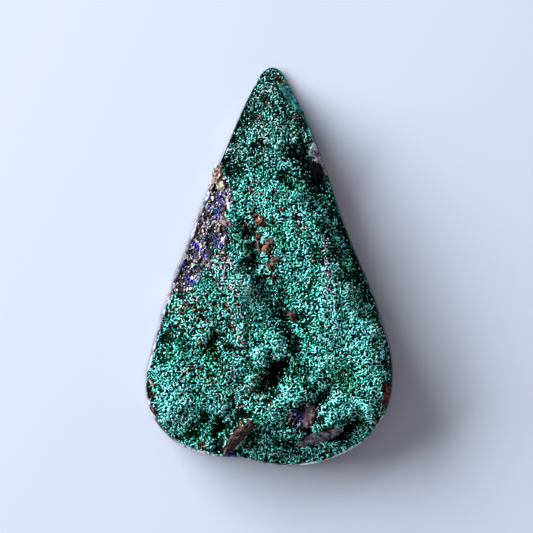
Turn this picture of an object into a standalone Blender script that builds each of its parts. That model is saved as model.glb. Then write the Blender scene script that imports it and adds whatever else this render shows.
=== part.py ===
"""Azurite and malachite specimen: a pear-shaped slab of vein rock with its natural crust on top.

The back and the walls are ground, and the top is as it grew.  X runs across the slab, +Y points to
its tip, and the ground back lies on Z = 0 with the outline's box centred on the origin.
"""

import math

import bmesh
import bpy
from mathutils import Vector, noise

MM = 0.001

# Driving dimensions, in millimetres
BLANK_HEIGHT = 9.0
WALL_LEAN_DEG = 5.0
BACK_CHAMFER = 0.25
CRUST_LEVEL = 6.7
GRID_STEP = 0.58
GRID_MARGIN = 1.6
GRID_JITTER = 0.14
THINNEST = 0.5

# Natural roughness between the named forms: wavelength and height of the swells, in millimetres
SWELLS = ((3.4, 0.42), (1.5, 0.24))

# How far the forms wander from their points, and the wavelength of that, in millimetres
WANDER = 0.75
WANDER_WAVELENGTH = 2.2

# Outline of the ground back from above, in millimetres, clockwise from the tip
OUTLINE = (
    (0.95, 24.62),
    (2.4, 22.6),
    (5.7, 15.8),
    (9.7, 4.5),
    (14.1, -6.7),
    (15.45, -13.4),
    (13.9, -19.4),
    (9.0, -23.5),
    (1.6, -24.95),
    (-3.6, -24.0),
    (-8.9, -23.25),
    (-13.02, -20.87),
    (-15.45, -16.2),
    (-14.5, -9.2),
    (-9.8, 4.5),
    (-6.1, 13.6),
    (-3.0, 20.4),
    (-1.85, 22.5),
    (-0.3, 24.62),
)

# Forms of the natural top: points along the form, its radius and its rise, in millimetres
RIDGES = {
    "tip hump": (((0.3, 21.6), (1.0, 18.0)), 2.1, 0.9),
    "neck hump": (((-0.9, 17.3), (2.6, 16.0)), 2.7, 0.9),
    "crest": (((2.6, 13.3), (4.6, 7.7), (6.6, 2.7), (9.1, -2.3), (12.0, -7.3)), 1.9, 0.9),
    "middle": (((-0.6, 8.2), (3.6, 1.4)), 3.6, 0.5),
    "left shoulder": (((-5.9, -0.2), (-3.9, -4.2)), 1.8, 0.5),
    "left field": (((-10.5, -7.5), (-10.5, -15.5)), 3.4, 0.5),
    "lower field": (((-6.0, -14.5), (-2.6, -16.0)), 2.4, 0.4),
    "right bank": (((6.2, -1.0), (6.9, -11.5)), 1.7, 0.7),
    "middle knob": (((-0.1, -8.6), (-0.4, -9.6)), 1.1, 0.9),
    "lower ridge": (((-0.9, -18.2), (2.0, -16.2), (4.3, -14.5)), 1.3, 1.1),
    "brown ledge": (((-2.1, -18.7), (-5.1, -21.7)), 1.0, 0.7),
    "lower spur": (((9.4, -19.0), (6.4, -19.6)), 0.8, 0.9),
    "lower knob": (((7.2, -18.4), (8.8, -17.4)), 1.3, 1.0),
    "right field": (((12.0, -11.1), (12.4, -16.2)), 1.7, 0.6),
}
HOLLOWS = {
    "tip end": (((-0.6, 25.4), (1.6, 25.4)), 9.2, 6.3),
    "tip facet": (((2.8, 23.6), (5.2, 18.2)), 1.6, 0.9),
    "tip left edge": (((-2.2, 22.6), (-5.2, 16.4)), 1.4, 0.9),
    "neck edge": (((5.4, 17.4), (6.6, 14.6)), 1.4, 1.1),
    "neck slot": (((-0.7, 15.4), (-0.5, 14.5)), 0.7, 0.8),
    "neck hollow": (((-4.9, 12.9), (-4.3, 11.7)), 1.0, 1.3),
    "notch": (((3.2, 13.7), (6.0, 12.0)), 1.5, 2.4),
    "right flank": (((7.2, 10.2), (8.5, 7.6), (10.4, 3.0), (12.6, -3.2)), 2.4, 3.3),
    "right edge": (((14.0, -5.4), (15.7, -11.0), (15.9, -16.2)), 1.7, 1.7),
    "azurite field": (((-6.9, 9.3), (-8.4, 3.4), (-10.4, -1.6)), 1.8, 0.9),
    "head of groove": (((-3.4, 5.6), (-2.8, 3.4)), 1.0, 0.7),
    "upper groove": (((-2.3, 2.4), (-2.0, 0.2)), 0.9, 1.1),
    "middle groove": (((-1.2, -2.0), (0.8, -5.4)), 0.8, 1.2),
    "lower arm": (((1.6, -6.0), (3.2, -10.0)), 0.8, 1.1),
    "groove valley": (((-1.9, 2.0), (-0.4, -3.6), (2.6, -10.5)), 2.4, 0.5),
    "pit": (((0.9, -12.6), (-0.4, -15.1)), 1.1, 2.6),
    "pit mouth": (((1.3, -12.0), (0.3, -12.4)), 0.8, 0.9),
    "left pit": (((-6.6, -8.4), (-7.3, -9.2)), 0.8, 1.0),
    "lower groove": (((-4.4, -17.4), (-6.4, -20.4)), 0.9, 1.5),
    "lower left": (((-8.3, -19.2), (-10.6, -19.6)), 1.9, 0.8),
    "purple hollow": (((3.7, -18.6), (4.8, -18.0)), 1.2, 0.5),
    "shaded hollow": (((5.5, -21.0), (9.2, -20.5), (10.3, -19.2)), 1.2, 2.1),
    "bottom hollow": (((-2.4, -21.4), (1.6, -21.9), (3.6, -22.6)), 1.1, 1.2),
    "green hollow": (((9.3, -13.6), (9.8, -14.5)), 1.1, 0.6),
    "right groove": (((7.9, -15.0), (5.8, -17.0)), 0.8, 0.9),
    "left edge": (((-7.9, 9.7), (-11.2, 0.4), (-14.8, -10.2), (-15.6, -16.2)), 2.1, 1.5),
    "bottom edge": (((-12.6, -21.6), (-6.7, -24.0), (0.8, -25.2), (7.6, -24.3), (13.0, -21.2)), 3.0, 1.9),
    "lower right edge": (((0.4, -25.2), (7.6, -24.3), (13.0, -21.2)), 2.2, 1.1),
}


def remove_everything():
    for obj in list(bpy.data.objects):
        bpy.data.objects.remove(obj)


def collection(name):
    new = bpy.data.collections.new(name)
    bpy.context.scene.collection.children.link(new)
    return new


def stone_material():
    """Malachite green, dry and rough."""
    material = bpy.data.materials.new("malachite crust")
    material.use_nodes = True
    shader = material.node_tree.nodes["Principled BSDF"]
    shader.inputs["Base Color"].default_value = (0.055, 0.24, 0.21, 1.0)
    shader.inputs["Roughness"].default_value = 0.75
    shader.inputs["Metallic"].default_value = 0.0
    return material


def outline_mesh():
    """The pear outline as a filled 2D curve, turned into a mesh."""
    curve = bpy.data.curves.new("outline", "CURVE")
    curve.dimensions = "2D"
    curve.fill_mode = "BOTH"
    curve.resolution_u = 5
    spline = curve.splines.new("BEZIER")
    spline.bezier_points.add(len(OUTLINE) - 1)
    for point, (x, y) in zip(spline.bezier_points, OUTLINE):
        point.co = (x * MM, y * MM, 0.0)
        point.handle_left_type = "AUTO"
        point.handle_right_type = "AUTO"
    spline.use_cyclic_u = True
    guide = bpy.data.objects.new("outline", curve)
    bpy.context.scene.collection.objects.link(guide)
    flat = guide.evaluated_get(bpy.context.evaluated_depsgraph_get())
    mesh = bpy.data.meshes.new_from_object(flat)
    bpy.data.objects.remove(guide)
    return mesh


def centre_on_origin(bm):
    """Put the middle of the outline's box on the origin."""
    xs = [vert.co.x for vert in bm.verts]
    ys = [vert.co.y for vert in bm.verts]
    middle = Vector((min(xs) + max(xs), min(ys) + max(ys), 0.0)) / 2
    bmesh.ops.translate(bm, vec=-middle, verts=bm.verts)


def ground_blank(group, material):
    """The slab before its natural top is cut: walls that lean in and a chamfered back edge."""
    mesh = outline_mesh()
    bm = bmesh.new()
    bm.from_mesh(mesh)
    bmesh.ops.remove_doubles(bm, verts=bm.verts, dist=0.001 * MM)
    centre_on_origin(bm)
    bmesh.ops.recalc_face_normals(bm, faces=bm.faces)
    if bm.faces[0].normal.z < 0:
        bmesh.ops.reverse_faces(bm, faces=bm.faces)
    lean = BLANK_HEIGHT * math.tan(math.radians(WALL_LEAN_DEG)) * MM
    bmesh.ops.inset_region(bm, faces=bm.faces, use_even_offset=True, use_boundary=True,
                           thickness=lean, depth=BLANK_HEIGHT * MM)
    rim = [edge for edge in bm.edges if edge.is_boundary]
    bmesh.ops.edgeloop_fill(bm, edges=rim)
    bmesh.ops.recalc_face_normals(bm, faces=bm.faces)
    bmesh.ops.bevel(bm, geom=rim, offset=BACK_CHAMFER * MM, segments=1, affect="EDGES")
    bm.to_mesh(mesh)
    bm.free()
    mesh.materials.append(material)
    stone = bpy.data.objects.new("azurite_specimen", mesh)
    group.objects.link(stone)
    return stone


def distance_to_path(spot, path):
    """Shortest distance from a spot to the straight runs between a form's points."""
    nearest = math.inf
    for start, end in zip(path, path[1:]):
        a = Vector(start)
        run = Vector(end) - a
        along = max(0.0, min(1.0, (spot - a).dot(run) / run.length_squared))
        nearest = min(nearest, (spot - a - run * along).length)
    return nearest


def form_height(spot, forms):
    """Sum of a set of rounded forms at a spot."""
    return sum(rise * math.exp(-(distance_to_path(spot, path) / radius) ** 2)
               for path, radius, rise in forms.values())


def swell_height(spot):
    """Natural unevenness between the forms."""
    return sum(height * noise.noise(Vector((spot.x, spot.y, 7.3 * height)) / wavelength)
               for wavelength, height in SWELLS)


def crust_height(spot):
    """Height of the natural top above the back, in millimetres."""
    shift = noise.noise_vector(Vector((spot.x, spot.y, 4.1)) / WANDER_WAVELENGTH)
    wandered = spot + Vector((shift.x, shift.y)) * WANDER
    height = CRUST_LEVEL + form_height(wandered, RIDGES) - form_height(wandered, HOLLOWS)
    return max(height, THINNEST) + swell_height(spot) * min(1.0, height / CRUST_LEVEL)


def natural_top_cutter(group, size):
    """A closed solid above the natural top, whose lower side is the relief of the crust."""
    span_x = size.x / MM + 2 * GRID_MARGIN
    span_y = size.y / MM + 2 * GRID_MARGIN
    bm = bmesh.new()
    bmesh.ops.create_grid(bm, x_segments=round(span_x / GRID_STEP),
                          y_segments=round(span_y / GRID_STEP), size=0.5)
    for vert in bm.verts:
        spot = Vector((vert.co.x * span_x, vert.co.y * span_y))
        if not vert.is_boundary:
            shake = noise.noise_vector(Vector((spot.x, spot.y, 0.0)) * 2.7)
            spot += Vector((shake.x, shake.y)) * GRID_JITTER
        vert.co = Vector((spot.x, spot.y, crust_height(spot))) * MM
    rim = [edge for edge in bm.edges if edge.is_boundary]
    raised = bmesh.ops.extrude_edge_only(bm, edges=rim)["geom"]
    for vert in raised:
        if isinstance(vert, bmesh.types.BMVert):
            vert.co.z = (BLANK_HEIGHT + GRID_MARGIN) * MM
    bmesh.ops.edgeloop_fill(bm, edges=[edge for edge in bm.edges if edge.is_boundary])
    bmesh.ops.recalc_face_normals(bm, faces=bm.faces)
    mesh = bpy.data.meshes.new("natural top cutter")
    bm.to_mesh(mesh)
    bm.free()
    cutter = bpy.data.objects.new("natural_top_cutter", mesh)
    cutter.hide_render = True
    cutter.display_type = "WIRE"
    group.objects.link(cutter)
    return cutter


def cut(stone, cutter):
    boolean = stone.modifiers.new("natural top", "BOOLEAN")
    boolean.operation = "DIFFERENCE"
    boolean.solver = "EXACT"
    boolean.object = cutter


def main():
    remove_everything()
    parts = collection("azurite specimen")
    cutters = collection("cutters")
    stone = ground_blank(parts, stone_material())
    cut(stone, natural_top_cutter(cutters, stone.dimensions))


if __name__ == "__main__":
    main()
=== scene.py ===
"""Looks of the azurite and malachite specimen: ground host rock, green crust, crystals, rust and pale grains.

Sizes are in metres.  Places on the crust are in millimetres from the middle of the outline's box, with
+Y towards the tip, and each is turned into metres where it is used.
"""

import math

import bmesh
import bpy
import numpy as np
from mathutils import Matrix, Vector, kdtree, noise
from mathutils.bvhtree import BVHTree


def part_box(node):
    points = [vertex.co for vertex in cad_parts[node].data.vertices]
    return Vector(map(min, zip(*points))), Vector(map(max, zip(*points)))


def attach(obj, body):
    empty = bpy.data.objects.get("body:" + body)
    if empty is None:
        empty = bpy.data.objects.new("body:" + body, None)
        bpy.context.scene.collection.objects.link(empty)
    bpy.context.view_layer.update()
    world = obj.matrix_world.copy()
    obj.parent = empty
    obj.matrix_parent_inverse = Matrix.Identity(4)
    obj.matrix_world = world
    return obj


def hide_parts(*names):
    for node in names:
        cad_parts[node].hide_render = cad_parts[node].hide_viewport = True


bl_info = {
    "name": "Azurite and Malachite Specimen",
    "version": (1, 0, 0),
    "blender": (4, 5, 0),
    "location": "View3D > Sidebar > Specimen",
    "description": "Makes the rock, crust and crystals of a pear-shaped mineral specimen, and its stage",
    "category": "Add Mesh",
}

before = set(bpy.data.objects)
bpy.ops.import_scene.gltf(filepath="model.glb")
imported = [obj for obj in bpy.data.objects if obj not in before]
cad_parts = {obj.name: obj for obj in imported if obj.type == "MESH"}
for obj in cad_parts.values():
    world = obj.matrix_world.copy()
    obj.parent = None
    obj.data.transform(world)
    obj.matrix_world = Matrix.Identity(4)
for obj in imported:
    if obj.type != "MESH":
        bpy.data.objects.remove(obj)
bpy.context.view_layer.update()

MM = 0.001
NODE = "azurite_specimen"

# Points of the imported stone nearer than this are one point.  A face whose normal rises more than
# TOP_SLOPE is natural top, and the normals of the leaning wall rise between the two WALL_SLOPES.
WELD = 0.002 * MM
TOP_SLOPE = 0.13
WALL_SLOPES = (0.06, 0.12)

# Noise is given as waves, each with its height, its length in millimetres and its seed.

# The patch on the left where the green crust has come away: its outline, the waves of its ragged edge
# and the distances from that edge between which it fades
BARE_ROCK = (
    (-6.5, 12.8), (-6.0, 11.2), (-5.1, 10.7), (-4.5, 9.3), (-4.2, 7.9), (-5.1, 6.5), (-4.6, 5.2),
    (-4.5, 4.0), (-5.2, 2.7), (-6.9, 1.8), (-6.7, 0.3), (-8.0, -0.8), (-9.1, -2.2), (-11.4, -3.7),
    (-12.6, -4.1), (-14.6, -4.4), (-11.5, 5.2), (-8.6, 12.4),
)
BARE_WAVE = (0.5, 0.9, 11)
BARE_FADE = (-0.1, 0.15)

# How much of the stray grains on the bare patch, and on the green crust, is each mineral
BARE_MIX = {"azurite": 0.07, "iron": 0.13, "matrix": 0.95}
CRUST_MIX = {"azurite": 0.0, "iron": 0.014, "matrix": 0.012}

# Spots of each mineral: points along the spot, its radius, the share of grains there that are this
# mineral, and its tone.  Azurite runs from deep blue to violet, iron oxide from dark brown to ochre,
# and the matrix from grey to pinkish beige.  A spot's ragged edge fades over SPOT_FADE each way.
SPOTS = {
    "azurite": (
        (((-6.5, 8.4), (-6.4, 8.2)), 0.22, 1.0, 0.1),
        (((-5.75, 7.75), (-6.15, 6.9)), 0.24, 1.0, 0.2),
        (((-6.2, 6.9), (-6.4, 6.2)), 0.24, 1.0, 0.1),
        (((-7.2, 7.5), (-7.3, 6.9)), 0.26, 0.8, 0.6),
        (((-8.7, 5.7), (-8.5, 5.4)), 0.25, 1.0, 0.2),
        (((-4.3, 7.6), (-4.2, 7.5)), 0.18, 1.0, 0.1),
        (((-5.3, 4.7), (-5.1, 4.3)), 0.28, 0.9, 0.4),
        (((-6.9, 3.7), (-6.4, 2.8)), 0.45, 1.0, 0.0),
        (((-6.4, 2.8), (-5.9, 2.6)), 0.38, 0.9, 0.1),
        (((-7.5, 2.0), (-7.7, 1.6)), 0.42, 0.9, 0.2),
        (((-9.0, 2.7), (-8.8, 2.4)), 0.40, 1.0, 0.1),
        (((-10.2, 2.0), (-10.3, 1.7)), 0.2, 0.9, 0.3),
        (((-10.4, 0.35), (-10.85, -0.2)), 0.36, 1.0, 0.3),
        (((-8.6, -0.4), (-8.5, -0.6)), 0.28, 0.8, 0.8),
        (((-10.1, -1.3), (-9.3, -1.9)), 0.28, 1.0, 0.2),
        (((3.3, -18.0), (3.8, -18.6)), 0.52, 1.0, 0.6),
        (((0.4, -17.7), (0.5, -17.8)), 0.25, 0.9, 0.8),
        (((-4.7, -23.0), (-4.2, -23.3)), 0.42, 1.0, 0.1),
        (((3.5, -18.7), (4.4, -18.0)), 1.2, 0.15, 0.8),
    ),
    "iron": (
        (((-8.75, 4.6), (-8.3, 4.8)), 0.25, 1.0, 0.9),
        (((-8.1, 7.3), (-8.0, 7.1)), 0.25, 0.9, 1.0),
        (((-9.1, 3.6), (-8.9, 3.4)), 0.25, 0.8, 0.8),
        (((-9.4, 1.6), (-8.1, 1.1)), 0.33, 0.6, 0.3),
        (((-5.6, 3.2), (-5.3, 3.9)), 0.30, 0.7, 0.1),
        (((-1.5, 6.0), (-0.8, 5.3)), 0.50, 0.9, 0.55),
        (((0.4, 5.6), (0.5, 5.3)), 0.24, 0.9, 0.15),
        (((-3.2, 5.1), (-2.8, 4.8)), 0.33, 0.8, 0.1),
        (((-1.5, 3.9), (-1.3, 2.5)), 0.24, 0.9, 0.15),
        (((-0.7, 2.6), (0.2, 1.7)), 0.60, 0.9, 0.5),
        (((-0.4, 1.75), (-0.35, 1.6)), 0.24, 1.0, 1.0),
        (((0.1, 0.9), (0.6, -1.5)), 0.42, 0.8, 0.4),
        (((-0.4, -1.2), (-0.3, -1.4)), 0.26, 0.9, 0.5),
        (((2.1, -5.7), (3.2, -6.3)), 0.42, 0.95, 0.1),
        (((3.9, 7.5), (3.9, 7.3)), 0.18, 0.9, 0.9),
        (((-10.6, -5.5), (-10.5, -5.7)), 0.24, 0.9, 0.1),
        (((-9.8, -4.8), (-9.6, -4.9)), 0.24, 0.9, 0.15),
        (((-8.7, -5.2), (-8.5, -5.3)), 0.24, 0.9, 0.1),
        (((-6.8, -4.6), (-6.6, -4.7)), 0.24, 0.9, 0.1),
        (((-5.3, -4.4), (-4.8, -5.5)), 0.26, 0.7, 0.2),
        (((-4.4, -7.5), (-2.7, -9.6)), 0.55, 0.35, 0.7),
        (((-3.2, -14.2), (-1.0, -16.5)), 0.8, 0.3, 0.8),
        (((-8.4, -9.2), (-8.3, -9.4)), 0.18, 0.9, 0.9),
        (((-10.3, -12.7), (-10.1, -13.0)), 0.28, 0.6, 0.8),
        (((-1.5, -13.5), (-1.3, -13.7)), 0.26, 0.9, 0.2),
        (((-15.0, -14.8), (-14.3, -16.2)), 0.50, 0.65, 0.6),
        (((-14.6, -17.2), (-14.0, -17.9)), 0.35, 0.7, 0.3),
        (((-4.9, -21.6), (-2.7, -19.3)), 0.85, 0.85, 0.05),
        (((-8.4, -21.6), (-8.0, -22.1)), 0.36, 0.9, 0.1),
        (((-9.3, -22.6), (-9.1, -22.8)), 0.28, 0.9, 0.1),
        (((-2.8, -23.0), (-2.6, -23.2)), 0.28, 0.9, 0.2),
        (((14.3, -14.6), (14.9, -16.9)), 0.60, 0.85, 0.1),
        (((14.9, -15.3), (14.9, -15.5)), 0.22, 1.0, 0.9),
        (((-0.2, 24.3), (0.0, 24.1)), 0.33, 0.5, 1.0),
        (((0.9, 23.6), (1.6, 23.0)), 0.36, 0.85, 0.1),
        (((-0.3, 20.1), (-0.1, 19.8)), 0.36, 0.15, 1.0),
        (((0.7, 17.1), (2.5, 17.1)), 0.32, 0.25, 1.0),
        (((4.0, 19.4), (3.0, 18.3)), 0.28, 0.6, 0.35),
        (((3.4, -18.9), (4.6, -17.9)), 1.4, 0.45, 0.1),
        (((-11.0, -5.6), (-6.5, -6.6), (-4.6, -10.0)), 2.3, 0.25, 0.25),
        (((-9.0, -14.0), (-4.0, -14.8), (-1.6, -16.0)), 2.0, 0.19, 0.5),
        (((-7.5, -22.8), (-3.0, -22.6), (5.0, -24.0)), 1.0, 0.15, 0.3),
        (((11.6, -2.0), (14.0, -9.0), (14.4, -13.0)), 0.9, 0.12, 0.2),
    ),
    "matrix": (
        (((-5.4, 8.7), (-5.0, 7.8)), 0.50, 1.0, 0.2),
        (((-5.9, 2.0), (-4.9, 0.4)), 0.55, 0.75, 0.8),
        (((-6.6, 0.2), (-4.6, -2.6)), 1.3, 0.38, 0.75),
        (((-4.3, -4.5), (-3.3, -9.5)), 0.9, 0.22, 0.9),
        (((-11.5, -4.8), (-8.0, -3.6)), 0.6, 0.35, 0.7),
        (((-3.1, 0.2), (-2.2, -3.8)), 0.8, 0.22, 0.6),
        (((-1.6, 10.4), (-1.5, 10.2)), 0.45, 0.8, 0.4),
        (((-2.3, 9.3), (-2.1, 9.1)), 0.35, 0.8, 0.6),
        (((-1.0, 9.1), (-0.8, 8.9)), 0.35, 0.7, 0.4),
        (((0.7, 9.2), (0.9, 9.1)), 0.33, 0.7, 0.3),
        (((3.3, 6.2), (4.0, 4.8)), 0.55, 0.6, 0.3),
        (((6.6, 3.2), (7.4, -2.8)), 0.5, 0.4, 0.3),
        (((5.0, 0.9), (5.2, 0.7)), 0.33, 0.9, 0.9),
        (((3.5, 18.4), (3.7, 18.2)), 0.28, 0.9, 0.2),
        (((3.9, 17.3), (4.0, 17.1)), 0.28, 0.9, 0.2),
        (((0.6, 22.0), (-0.6, 21.9)), 0.4, 0.25, 0.3),
        (((-0.3, 20.1), (-0.1, 19.8)), 0.36, 0.6, 1.0),
        (((-2.0, 22.2), (-2.3, 21.0)), 0.3, 0.6, 0.5),
        (((-1.5, 19.0), (-1.2, 18.3)), 0.4, 0.5, 0.3),
        (((3.3, -19.0), (4.8, -17.6)), 1.3, 0.4, 0.4),
        (((-15.0, -13.3), (-14.2, -14.5)), 0.24, 0.9, 1.0),
    ),
}
SPOT_WAVE = (0.22, 0.5, 12)
SPOT_FADE = 0.12

# Patches of vivid green crust: points along the patch and its radius
VIVID_GREEN = (
    (((8.0, -12.2), (10.0, -14.6)), 1.1),
    (((-7.5, -10.4), (-6.0, -12.2)), 1.0),
    (((-1.9, -22.3), (-1.4, -22.3)), 0.7),
    (((-4.4, 4.0), (-3.2, 2.4)), 0.7),
    (((1.0, 4.5), (1.8, 2.5)), 0.8),
    (((9.6, 0.5), (10.8, -3.5)), 0.8),
)

# Tones of the green grains: their middle, their waves and how far the vivid patches shift them.  Then
# the middle and waves of the stray grains of other minerals, and how much single grains differ.
GREEN_TONE = 0.32
GREEN_WAVES = ((0.6, 2.5, 31), (0.6, 0.7, 37))
VIVID_SHIFT = 0.95
STRAY_TONE = 0.5
STRAY_WAVES = ((0.6, 1.2, 33), (0.6, 1.2, 34), (0.6, 1.2, 35))
TONE_SPREAD = 0.28

# Dullness of the green grains: everywhere, added at the tip and between which y that rises, and its waves
DULL_BASE = 0.07
DULL_TIP = 0.62
DULL_FROM = (8.5, 15.0)
DULL_WAVE = (0.5, 1.6, 41)

# Broad swells of the crust, painted paler as light, and hollows, painted darker as shade: points along
# each, its radius, and how much it stands out, in steps of SWELL_HEIGHT millimetres that are painted
# paler by SWELL_PAINTED_SHADE.  Each is full up to the first of SWELL_FADE, in radii, and ends at the second.
SWELLS = (
    (((-5.6, -0.6), (-4.6, -1.8), (-1.7, -3.2)), 1.4, 1.2),
    (((-7.6, -7.6), (-8.0, -8.7)), 1.0, 2.1),
    (((-12.2, -19.0), (-11.1, -19.5)), 1.2, 2.0),
    (((-2.0, -14.4), (-0.8, -15.2)), 1.1, 2.2),
    (((7.1, -4.2), (7.4, -6.7), (8.3, -10.5), (8.9, -14.8)), 1.2, 0.8),
    (((11.2, -17.4), (11.8, -19.5)), 1.4, 2.3),
    (((3.0, -18.2), (3.7, -18.6)), 0.9, 2.0),
    (((8.0, -3.2), (11.0, -8.8), (12.0, -13.0)), 2.2, 0.7),
    (((3.6, -16.5), (6.2, -16.8)), 0.8, 1.2),
    (((-11.8, -15.0), (-9.8, -17.8)), 2.0, 0.6),
    (((-3.5, 15.5), (-1.5, 11.5)), 2.0, -0.2),
    (((7.4, -15.0), (7.9, -16.0)), 0.8, 1.6),
    (((10.7, -2.0), (12.0, -4.8)), 1.0, 1.4),
    (((-0.1, 8.5), (0.4, 6.0)), 1.0, 0.6),
    (((2.5, 4.7), (2.7, 4.2)), 0.8, 0.7),
    (((-2.7, -22.0), (0.0, -21.8)), 0.9, 1.2),
    (((-2.1, 19.3), (-3.6, 15.8)), 1.0, -1.0),
    (((1.8, 11.0), (3.8, 11.7), (2.8, 10.2)), 1.0, -1.7),
    (((-3.4, 12.6), (-4.0, 11.0), (-4.6, 9.3)), 0.8, -1.0),
    (((-4.7, 13.9), (-4.5, 13.3)), 0.8, 1.2),
    (((-6.6, 4.2), (-7.2, 1.7), (-7.9, 0.3)), 0.8, -1.5),
    (((1.1, -1.7), (2.0, -4.2), (4.6, -7.0)), 0.8, -1.2),
    (((-12.6, -10.6), (-11.6, -8.0), (-10.1, -9.3)), 1.1, -1.3),
    (((-7.1, -10.1), (-6.7, -10.9)), 1.0, -0.9),
    (((1.9, -12.8), (2.9, -12.8)), 0.7, -1.5),
    (((11.5, -13.8), (11.4, -15.6)), 0.8, -1.1),
    (((4.8, -14.4), (5.3, -14.7)), 0.7, -1.7),
    (((-8.2, -18.4), (-9.3, -20.4)), 1.0, -1.5),
    (((-5.5, -19.8), (-5.2, -20.6)), 0.7, -1.8),
    (((-6.1, -21.3), (-5.9, -22.0)), 0.7, -1.7),
    (((-1.4, -18.8), (-2.9, -18.4), (-4.0, -19.2)), 0.9, -1.5),
    (((5.4, -21.9), (5.1, -23.0)), 0.8, -0.8),
    (((4.4, -20.9), (5.6, -20.9)), 0.7, 1.2),
    (((5.7, -19.0), (6.7, -18.6)), 0.6, -1.4),
    (((-1.4, -10.7), (-1.1, -11.4)), 0.8, 1.6),
    (((3.8, 16.8), (4.6, 14.6)), 0.8, -1.3),
    (((5.6, 6.9), (5.9, 5.9)), 1.0, -0.8),
    (((11.3, -6.8), (11.5, -7.8)), 0.9, -0.5),
    (((-0.7, 20.8), (0.6, 19.2)), 0.8, -1.0),
    (((-3.6, -1.6), (-4.2, -4.4)), 1.1, 0.7),
    (((-0.8, -2.6), (0.4, -5.4)), 0.9, 0.5),
    (((-2.8, 2.8), (-2.6, 1.6)), 0.7, 1.1),
    (((-0.7, 15.5), (-0.5, 14.4)), 0.6, 1.1),
    (((-1.4, 14.2), (-1.6, 13.0)), 1.2, -0.7),
    (((-3.2, 3.0), (-4.4, 0.6)), 0.8, 1.3),
    (((-2.7, -2.6), (-1.4, -4.4)), 1.0, 1.2),
    (((-3.7, -6.4), (-3.6, -9.2)), 0.7, 1.3),
    (((1.3, -8.8), (1.3, -11.0)), 0.8, 1.8),
    (((13.2, -7.4), (14.2, -10.8)), 0.6, 1.5),
    (((-5.7, 5.6), (-5.3, 4.4)), 0.55, -1.5),
    (((-1.9, 4.6), (-2.7, 4.1)), 0.6, -1.9),
    (((5.6, 2.4), (6.2, 0.6)), 0.8, -1.3),
    (((-4.4, -17.2), (-5.2, -18.0)), 0.8, 2.4),
    (((0.9, -18.3), (1.5, -18.7)), 0.7, 1.3),
    (((-11.6, -4.2), (-11.0, -4.6)), 0.7, 1.6),
    (((-4.9, -23.0), (-4.0, -23.3)), 0.5, 1.5),
    (((7.9, 4.4), (10.2, -0.4)), 0.5, 1.3),
)
SWELL_FADE = (0.4, 1.5)
SWELL_HEIGHT = 0.2
SWELL_PAINTED_SHADE = 0.12

# The crust stops EDGE_MARGIN from the wall, with a wave, and further from it along the worn edges: points
# along the edge, its radius and the added margin
WORN_EDGES = (
    (((-7.6, 10.2), (-8.6, 7.6), (-10.4, 2.4), (-12.2, -3.0)), 1.5, 0.16),
    (((-12.9, -4.6), (-15.3, -11.4)), 1.5, 0.10),
    (((-4.0, -24.6), (4.0, -25.0), (10.0, -23.0), (13.8, -19.6)), 1.5, 0.04),
    (((-15.2, -17.6), (-12.4, -21.8), (-8.0, -23.6)), 1.5, 0.12),
    (((5.9, 14.3), (6.8, 12.2)), 1.0, 0.25),
)
EDGE_MARGIN = 0.12
EDGE_WAVE = (0.12, 0.9, 23)

# The stretch of the wall that the green crust runs down over: points along it and its radius
COATED_WALL = (((0.6, 24.6), (3.2, 21.2), (5.2, 16.4)), 1.2)

# Chips of weathered rock that lie in the crust: middle, half length, half width, turn and colour.  A
# colour that is given by name is the setting's.
CHIPS = {
    "upper tan": ((-6.4, 11.3), 1.15, 0.58, 70.0, "tan"),
    "yellow": ((-5.95, 9.85), 0.85, 0.55, 120.0, "yellow"),
    "small pale": ((-7.15, 9.8), 0.6, 0.36, 68.0, (0.36, 0.29, 0.24)),
    "brown": ((-5.4, 5.5), 0.85, 0.45, -35.0, (0.27, 0.19, 0.155)),
    # The notch facet's pale grey is lightened as painted light, since the facet faces away from the soft
    # light
    "notch facet": ((5.7, 13.65), 1.0, 0.66, -58.0, (0.42, 0.40, 0.41)),
    # The notch face is painted near-black, as the shadow under the broken edge of the crust
    "notch face": ((5.9, 12.0), 1.25, 0.85, -60.0, "dark"),
    "middle tan": ((-1.25, 5.5), 0.5, 0.36, 30.0, (0.29, 0.135, 0.08)),
    "middle tan corner": ((-0.75, 5.9), 0.36, 0.24, 60.0, (0.12, 0.05, 0.035)),
    "middle rib": ((-1.3, 2.4), 1.0, 0.20, 100.0, (0.14, 0.09, 0.075)),
    "middle brown": ((-0.45, 2.2), 0.62, 0.36, 48.0, (0.21, 0.09, 0.055)),
    "middle brown top": ((0.15, 2.95), 0.5, 0.34, 70.0, (0.13, 0.065, 0.05)),
    "lower middle brown": ((0.75, 0.85), 0.62, 0.34, 42.0, (0.14, 0.075, 0.06)),
    "lower middle end": ((0.1, 0.2), 0.48, 0.34, 20.0, (0.20, 0.095, 0.06)),
    "right middle brown": ((2.8, -5.85), 0.50, 0.33, 20.0, (0.10, 0.045, 0.04)),
    "brown slab": ((-3.65, -20.65), 2.5, 0.66, 49.0, (0.085, 0.045, 0.038)),
    "purple slab": ((4.9, -18.1), 1.35, 0.85, 72.0, (0.15, 0.105, 0.105)),
    "grey slab": ((6.2, -20.9), 3.0, 0.82, 24.0, "grey"),
    "left lath": ((-14.5, -14.0), 0.8, 0.20, -55.0, "tan"),
    "lower left lath": ((-14.2, -17.4), 0.7, 0.25, -60.0, "brown"),
    "right lath": ((14.35, -15.8), 1.4, 0.62, 80.0, (0.17, 0.075, 0.055)),
    "tip facet": ((2.75, 21.1), 2.7, 0.62, -58.0, (0.024, 0.14, 0.125)),
}

# The chips that jut past the wall, and how much higher than the others they lie
JUTTING = ("upper tan", "small pale", "yellow")
JUTTING_LIFT = 0.15

# How far the chips are sunk in the crust, and how far the grains reach under their edges
CHIP_SINK = 0.03
UNDER_CHIP = 0.06


def metres(points):
    """Places in millimetres as an array in metres."""
    return np.array(points) * MM


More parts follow.
